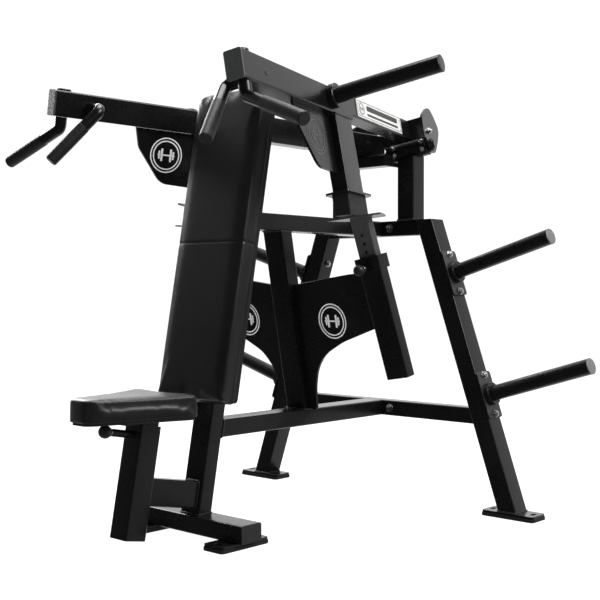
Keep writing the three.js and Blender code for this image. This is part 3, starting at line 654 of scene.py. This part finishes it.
# ----------------------------------------------------------------------------------------------
# Badges: a plain ring round a loaded bar, on the gussets and wing plates, and the blank name plate
# ----------------------------------------------------------------------------------------------
def ring(inner_radius, outer_radius, high=0.0006, sides=72):
    bm = revolved([(0, inner_radius), (0, outer_radius), (high, outer_radius), (high, inner_radius),
                   (0, inner_radius)], sides)
    bmesh.ops.remove_doubles(bm, verts=bm.verts, dist=1e-6)
    bmesh.ops.recalc_face_normals(bm, faces=bm.faces)
    return bm


def stripe(x, y, width, height, high):
    """A flat block with rounded corners, standing on the XY plane."""
    return placed(slab(rounded_outline(width, height, min(width, height) * 0.3, 4), 0, high, 0),
                  Matrix.Translation((x, y, 0)))


def badge(radius):
    """Painted marks standing 0.6 mm on the XY plane: two rings and a bar with two discs a side."""
    def block(x, width, height):
        return stripe(x, 0, width, height, 0.0006)

    parts = [ring(radius * 0.93, radius), ring(radius * 0.76, radius * 0.83),
             block(0, radius * 1.08, radius * 0.08)]
    for side in (-1, 1):
        parts.append(block(side * radius * 0.28, radius * 0.13, radius * 0.72))
        parts.append(block(side * radius * 0.44, radius * 0.11, radius * 0.46))
    return joined(*parts)


PLATE_FACE = 0.0041
for face in (1, -1):
    turn = Matrix(((0, 0, face, 0), (face, 0, 0, 0), (0, 1, 0, 0), (0, 0, 0, 1)))
    at = ARM @ Matrix.Translation((face * PLATE_FACE, -0.690, -0.066)) @ turn
    # The outer badges take the dark grey copy of the mark paint: painted shade for their shadowed emblem
    name, paint = ("outer", SHADED_MARK) if face > 0 else ("inner", MARK)
    pair(f"gusset_badge_{name}_" + "{}", badge(0.055), "{}_arm", paint, at)
pair("wing_badge_{}", badge(0.054), "frame", MARK,
     WEB @ facing((0.180, -PLATE_FACE, 0.284), (0, -1, 0)))

plate_low, plate_high = Vector((-0.445, 0.027)), Vector((-0.123, 0.082))
plate_centre, plate_size = (plate_low + plate_high) / 2, plate_high - plate_low
on_plate = ARM @ Matrix.Translation((0.02842, plate_centre.x, plate_centre.y)) @ ON_X


def border(width, height, line=0.0016):
    """A printed line round a plate, standing on the XY plane."""
    outer_ring = rounded_outline(width, height, 0.004)
    inner_ring = rounded_outline(width - 2 * line, height - 2 * line, 0.003)
    return slab(outer_ring, 0.0, 0.0003, 0, [inner_ring])


pair("name_plate_border_{}", border(plate_size.x - 0.008, plate_size.y - 0.008), "{}_arm", BLACK_PLUG,
     on_plate)
small_badge = placed(badge(0.019), Matrix.Translation((-0.130, 0, 0)) @ Matrix.Diagonal((1, 1, 0.5, 1)))
plate_marks = joined(small_badge, *(stripe(0.018, y, 0.225, height, 0.0003)
                                    for y, height in ((0.008, 0.016), (-0.012, 0.007))))
pair("name_plate_marks_{}", plate_marks, "{}_arm", BLACK_PLUG, on_plate)
rivet = [(0, 0), (0, 0.0032), (0.0007, 0.0028), (0.0014, 0.0017), (0.0016, 0)]
corner = plate_size / 2 - Vector((0.012, 0.012))
rivets = joined(*(placed(revolved(rivet, 24), Matrix.Translation((sx * corner.x, sy * corner.y, 0)))
                  for sx in (-1, 1) for sy in (-1, 1)))
pair("name_plate_rivets_{}", rivets, "{}_arm", ZINC, on_plate)


# ----------------------------------------------------------------------------------------------
# Weld beads along the ends of the frame's tubes
# ----------------------------------------------------------------------------------------------
def end_outline(node, direction):
    """The outline of a node's flat end that faces most nearly along direction."""
    bm = bmesh.new()
    bm.from_mesh(NODES[node].data)
    bmesh.ops.remove_doubles(bm, verts=bm.verts, dist=1e-6)
    aim = Vector(direction).normalized()
    reach = max(v.co.dot(aim) for v in bm.verts)
    best = max((f for f in bm.faces if max(v.co.dot(aim) for v in f.verts) > reach - 0.03),
               key=lambda f: f.normal.dot(aim))
    normal = best.normal.copy()
    cap = {f for f in bm.faces if f.normal.dot(normal) > 0.9995
           and abs((f.verts[0].co - best.verts[0].co).dot(normal)) < 1e-4}
    rim = {e for f in cap for e in f.edges if sum(g in cap for g in e.link_faces) == 1}
    start = next(iter(sorted(rim, key=lambda e: tuple(e.verts[0].co))))
    ordered, vertex, edge = [start.verts[0]], start.verts[1], start
    while vertex != ordered[0]:
        ordered.append(vertex)
        edge = next(e for e in vertex.link_edges if e in rim and e != edge)
        vertex = edge.other_vert(vertex)
    points = [v.co.copy() for v in ordered]
    bm.free()
    return points, normal


def bead(node, direction, radius=0.0026, seed=0):
    """A rippled bead round one end of a tube."""
    points, normal = end_outline(node, direction)
    centre = sum(points, Vector()) / len(points)
    path = []
    for a, b in zip(points, points[1:] + points[:1]):
        steps = max(1, round((b - a).length / 0.004))
        path += [a.lerp(b, i / steps) for i in range(steps)]
    path = [p + (p - centre).normalized() * 0.0006 - normal * 0.0004 for p in path]
    rng = np.random.default_rng(seed)
    bm = bmesh.new()
    rings = []
    sides = 8
    for i, point in enumerate(path):
        tangent = (path[(i + 1) % len(path)] - path[i - 1]).normalized()
        out = tangent.cross(normal).normalized()
        r = radius * (1 + 0.16 * math.sin(i * 2.1) + rng.uniform(-0.08, 0.08))
        rings.append([bm.verts.new(point + (out * math.cos(t) + normal * math.sin(t)) * r)
                      for t in (2 * math.pi * k / sides for k in range(sides))])
    for low, high in zip(rings, rings[1:] + rings[:1]):
        for k in range(sides):
            bm.faces.new((low[k], low[(k + 1) % sides], high[(k + 1) % sides], high[k]))
    bmesh.ops.recalc_face_normals(bm, faces=bm.faces)
    return bm


FRAME_WELDS = [
    ("main_upright", (0, 0, -1)), ("connecting_tube", (0, 1, 0)), ("connecting_tube", (0, -1, 0)),
    ("lower_beam", (0, -1, 0)), ("upper_beam", (0, -1, 0)), ("top_beam", (0, -1, 0)),
    ("centre_tube", (0, 0, -1)), ("centre_tube", (0, 0, 1)), ("rear_leg_left", (0, 0, -1)),
    ("rear_leg_right", (0, 0, -1)), ("upper_crossbar", (1, 0, 0)), ("upper_crossbar", (-1, 0, 0)),
    ("lower_crossbar", (1, 0, 0)), ("lower_crossbar", (-1, 0, 0)), ("rear_post_left", (0, 0, -1)),
    ("rear_post_right", (0, 0, -1)),
]
welds = joined(*(bead(node, direction, seed=i) for i, (node, direction) in enumerate(FRAME_WELDS)))
piece("frame_welds", welds, "frame", WELD, smooth=70)
for hand in ("left", "right"):
    beads = joined(bead(f"arm_down_tube_{hand}", (0, 0, 1), seed=3))
    piece(f"arm_welds_{hand}", beads, f"{hand}_arm", WELD, smooth=70)


# ----------------------------------------------------------------------------------------------
# Cushions: foam under tight vinyl, blown up by a short cloth simulation and capped
# ----------------------------------------------------------------------------------------------
CLOTH_FRAMES = 20
HELD_DEPTH = 0.004      # of the pad, from the face that lies on the board


def cushion(node, axes, voxel, cap, shrink, seams, name, body):
    """A stuffed pad in the space of its CAD solid. axes: +Z points out of the pad's face."""
    local = axes.inverted()
    low, high = box_in(node, local)
    obj = NODES[node].copy()
    obj.data = NODES[node].data.copy()
    obj.name = name
    obj.parent = None
    for key in list(obj.keys()):
        del obj[key]
    bpy.context.scene.collection.objects.link(obj)
    centre = (low + high) / 2
    size = high - low
    squeeze = Matrix.Diagonal([1 - 2 * shrink / s for s in (size.x, size.y)] + [1 - shrink / size.z, 1])
    lift = Matrix.Translation((centre.x, centre.y, low.z))
    obj.data.transform(lift @ squeeze @ lift.inverted() @ local)
    obj.matrix_world = Matrix.Identity(4)
    remesh = obj.modifiers.new("remesh", "REMESH")
    remesh.mode, remesh.voxel_size, remesh.use_smooth_shade = "VOXEL", voxel, True
    apply(obj)
    rest = positions(obj.data)
    blow_up(obj, rest, low.z)
    shape = positions(obj.data)
    move = shape - rest
    move[rest[:, 2] < low.z + HELD_DEPTH] = 0
    travel = np.linalg.norm(move, axis=1, keepdims=True)
    move *= np.minimum(1, cap / np.maximum(travel, 1e-9))
    shape = rest + move
    shape[:, 2] = np.clip(shape[:, 2], low.z, high.z + 0.004)
    store(obj.data, shape)
    smooth = obj.modifiers.new("smooth", "SMOOTH")
    smooth.factor, smooth.iterations = 0.5, 2
    subdivide = obj.modifiers.new("subdivide", "SUBSURF")
    subdivide.levels = subdivide.render_levels = 1
    apply(obj)
    shape = positions(obj.data)
    for seam in seams:
        shape += groove(shape, seam, low, high)
    store(obj.data, shape)
    obj.data.transform(axes)
    obj.data.materials.clear()
    obj.data.materials.append(VINYL)
    for polygon in obj.data.polygons:
        polygon.use_smooth = True
    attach(obj, body)
    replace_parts(obj, node)
    return obj


def box_in(node, local):
    points = np.array([local @ v.co for v in NODES[node].data.vertices])
    return Vector(points.min(0)), Vector(points.max(0))


def positions(mesh):
    flat = np.empty(len(mesh.vertices) * 3)
    mesh.vertices.foreach_get("co", flat)
    return flat.reshape(-1, 3)


def store(mesh, points):
    mesh.vertices.foreach_set("co", points.ravel())
    mesh.update()


def apply(obj):
    """Replaces an object's mesh with what its modifiers make of it."""
    graph = bpy.context.evaluated_depsgraph_get()
    made = bpy.data.meshes.new_from_object(obj.evaluated_get(graph))
    obj.modifiers.clear()
    obj.data = made


def blow_up(obj, rest, floor):
    """Cloth under pressure, held at the face that lies on the board."""
    held = obj.vertex_groups.new(name="held")
    held.add([int(i) for i in np.flatnonzero(rest[:, 2] < floor + HELD_DEPTH)], 1.0, "REPLACE")
    cloth = obj.modifiers.new("cloth", "CLOTH")
    cloth.settings.use_pressure = True
    cloth.settings.uniform_pressure_force = 4
    cloth.settings.tension_stiffness = cloth.settings.compression_stiffness = 25
    cloth.settings.bending_stiffness = 2
    cloth.settings.effector_weights.gravity = 0
    cloth.settings.vertex_group_mass = "held"
    cloth.point_cache.frame_start, cloth.point_cache.frame_end = 1, CLOTH_FRAMES
    scene = bpy.context.scene
    for step in range(1, CLOTH_FRAMES + 1):
        scene.frame_set(step)
        obj.evaluated_get(bpy.context.evaluated_depsgraph_get())
    apply(obj)
    scene.frame_set(1)


def groove(points, seam, low, high):
    """A sewn valley across the pad's face and sides at one place along Y."""
    at, depth, width = seam
    away = (points[:, 1] - at) / width
    dip = depth * np.exp(-away ** 2)
    middle = np.array([(low.x + high.x) / 2, 0, low.z])
    inward = middle - points
    inward[:, 1] = 0
    face = np.clip((points[:, 2] - low.z) / (high.z - low.z), 0, 1)
    inward[:, 0] *= np.abs(inward[:, 0]) > (high.x - low.x) / 2 - 0.012
    inward[:, 2] *= face > 0.8
    length = np.maximum(np.linalg.norm(inward, axis=1, keepdims=True), 1e-9)
    return inward / length * dip[:, None] * (length > 1e-6)


def stitches(obj, axes, lines, name, body, pitch=0.0065, length=0.0044, lift=0.0003):
    """Thread along lines of (start, end) on the pad's face, laid on its surface."""
    tree = BVHTree.FromObject(obj, bpy.context.evaluated_depsgraph_get())
    out = axes.to_3x3() @ Vector((0, 0, 1))
    parts = []
    for start, end in lines:
        a, b = axes @ Vector((*start, 0.2)), axes @ Vector((*end, 0.2))
        count = int((b - a).length / pitch)
        along = (b - a).normalized()
        for i in range(count):
            centre = a + along * (i + 0.5) * pitch
            ends = [tree.ray_cast(centre + along * s * length / 2, -out)[0] for s in (-1, 0, 1)]
            if all(ends):
                points = [p + out * (lift if k == 1 else -0.0002) for k, p in enumerate(ends)]
                parts.append(swept(points, [0.0003, 0.00055, 0.0003], 6))
    return piece(name, joined(*parts), body, THREAD, smooth=80)


# A pad's own axes: X across, Y up the pad, Z out of its face
FACE_UP = Matrix(((1, 0, 0, 0), (0, 0, -1, 0), (0, 1, 0, 0), (0, 0, 0, 1)))
BACK_AXES = MAST @ FACE_UP
BACK_SEAM = 0.762
back = cushion("back_cushion", BACK_AXES, voxel=0.006, cap=0.005, shrink=0.002,
               seams=[(BACK_SEAM, 0.0016, 0.0035)], name="back_pad", body="frame")
rows = [((-0.128, y), (0.128, y)) for y in (BACK_SEAM + s * 0.0065 for s in (-1, 1))]
stitches(back, BACK_AXES, rows, "back_pad_stitching", "frame")
cushion("seat_cushion", MACHINE, voxel=0.005, cap=0.0025, shrink=0.002,
        seams=[], name="seat_pad", body="seat")

# ----------------------------------------------------------------------------------------------
# Studio: floor, light and the camera
# ----------------------------------------------------------------------------------------------
def studio_material():
    n = Nodes("studio_floor")
    n.set(Specular_IOR_Level=0.0, Emission_Color=(1, 1, 1, 1), Emission_Strength=0.98)
    tone = n.blend(n.noise(1.5), (0.26, 0.26, 0.26), (0.29, 0.29, 0.29))
    return n.finish(tone, n.ramp(n.noise(30), 0.75, 0.85), n.bump(n.noise(400), 0.0002, 0.1))


floor_bm = bmesh.new()
bmesh.ops.create_grid(floor_bm, x_segments=1, y_segments=1, size=30)
floor_mesh = bpy.data.meshes.new("studio_floor")
floor_bm.to_mesh(floor_mesh)
floor_bm.free()
floor_mesh.materials.append(studio_material())
floor = bpy.data.objects.new("studio_floor", floor_mesh)
bpy.context.scene.collection.objects.link(floor)
floor.visible_glossy = False


def studio_world():
    """Soft light from behind, strongest on the user's right, dim in front, before a white backdrop."""
    world = bpy.data.worlds.new("studio")
    world.use_nodes = True
    tree = world.node_tree
    place = tree.nodes.new("ShaderNodeTexCoord")
    axis = tree.nodes.new("ShaderNodeVectorMath")
    axis.operation = "DOT_PRODUCT"
    axis.inputs[1].default_value = (-0.5, 0.866, 0.0)
    glow = tree.nodes.new("ShaderNodeMapRange")
    for name, value in (("From Min", -0.1), ("From Max", 0.95), ("To Min", 0.02), ("To Max", 1.1)):
        glow.inputs[name].default_value = value
    seen = tree.nodes.new("ShaderNodeLightPath")
    white = tree.nodes.new("ShaderNodeMath")
    white.operation = "MAXIMUM"
    tree.links.new(place.outputs["Generated"], axis.inputs[0])
    tree.links.new(axis.outputs["Value"], glow.inputs["Value"])
    tree.links.new(seen.outputs["Is Camera Ray"], white.inputs[0])
    tree.links.new(glow.outputs["Result"], white.inputs[1])
    tree.links.new(white.outputs["Value"], tree.nodes["Background"].inputs["Strength"])
    tree.nodes["Background"].inputs["Color"].default_value = (1, 1, 1, 1)
    return world


bpy.context.scene.world = studio_world()


def softbox(name, place, size, power):
    light = bpy.data.lights.new(name, "AREA")
    light.shape, light.size, light.size_y, light.energy = "RECTANGLE", size[0], size[1], power
    obj = bpy.data.objects.new(name, light)
    aim = Vector((0, 0.1, 0.7)) - Vector(place)
    obj.matrix_world = Matrix.Translation(place) @ aim.to_track_quat("-Z", "Y").to_matrix().to_4x4()
    bpy.context.scene.collection.objects.link(obj)


softbox("key", (4.0, 0.6, 3.4), (2.4, 2.4), 170)
softbox("top", (0.0, 0.4, 5.0), (3.0, 3.0), 220)
softbox("left", (-4.0, 0.8, 3.0), (2.4, 2.4), 160)

camera = bpy.data.cameras.new("camera")
camera.sensor_width = 36
camera.lens = 62.91
view = bpy.data.objects.new("camera", camera)
view.location = (2.22585, -1.98494 - ORIGIN_Y, 0.7013)
view.rotation_euler = (math.radians(90 - 0.59), 0, math.radians(42.53))
bpy.context.scene.collection.objects.link(view)
bpy.context.scene.camera = view
bpy.context.scene.view_settings.view_transform = "Standard"
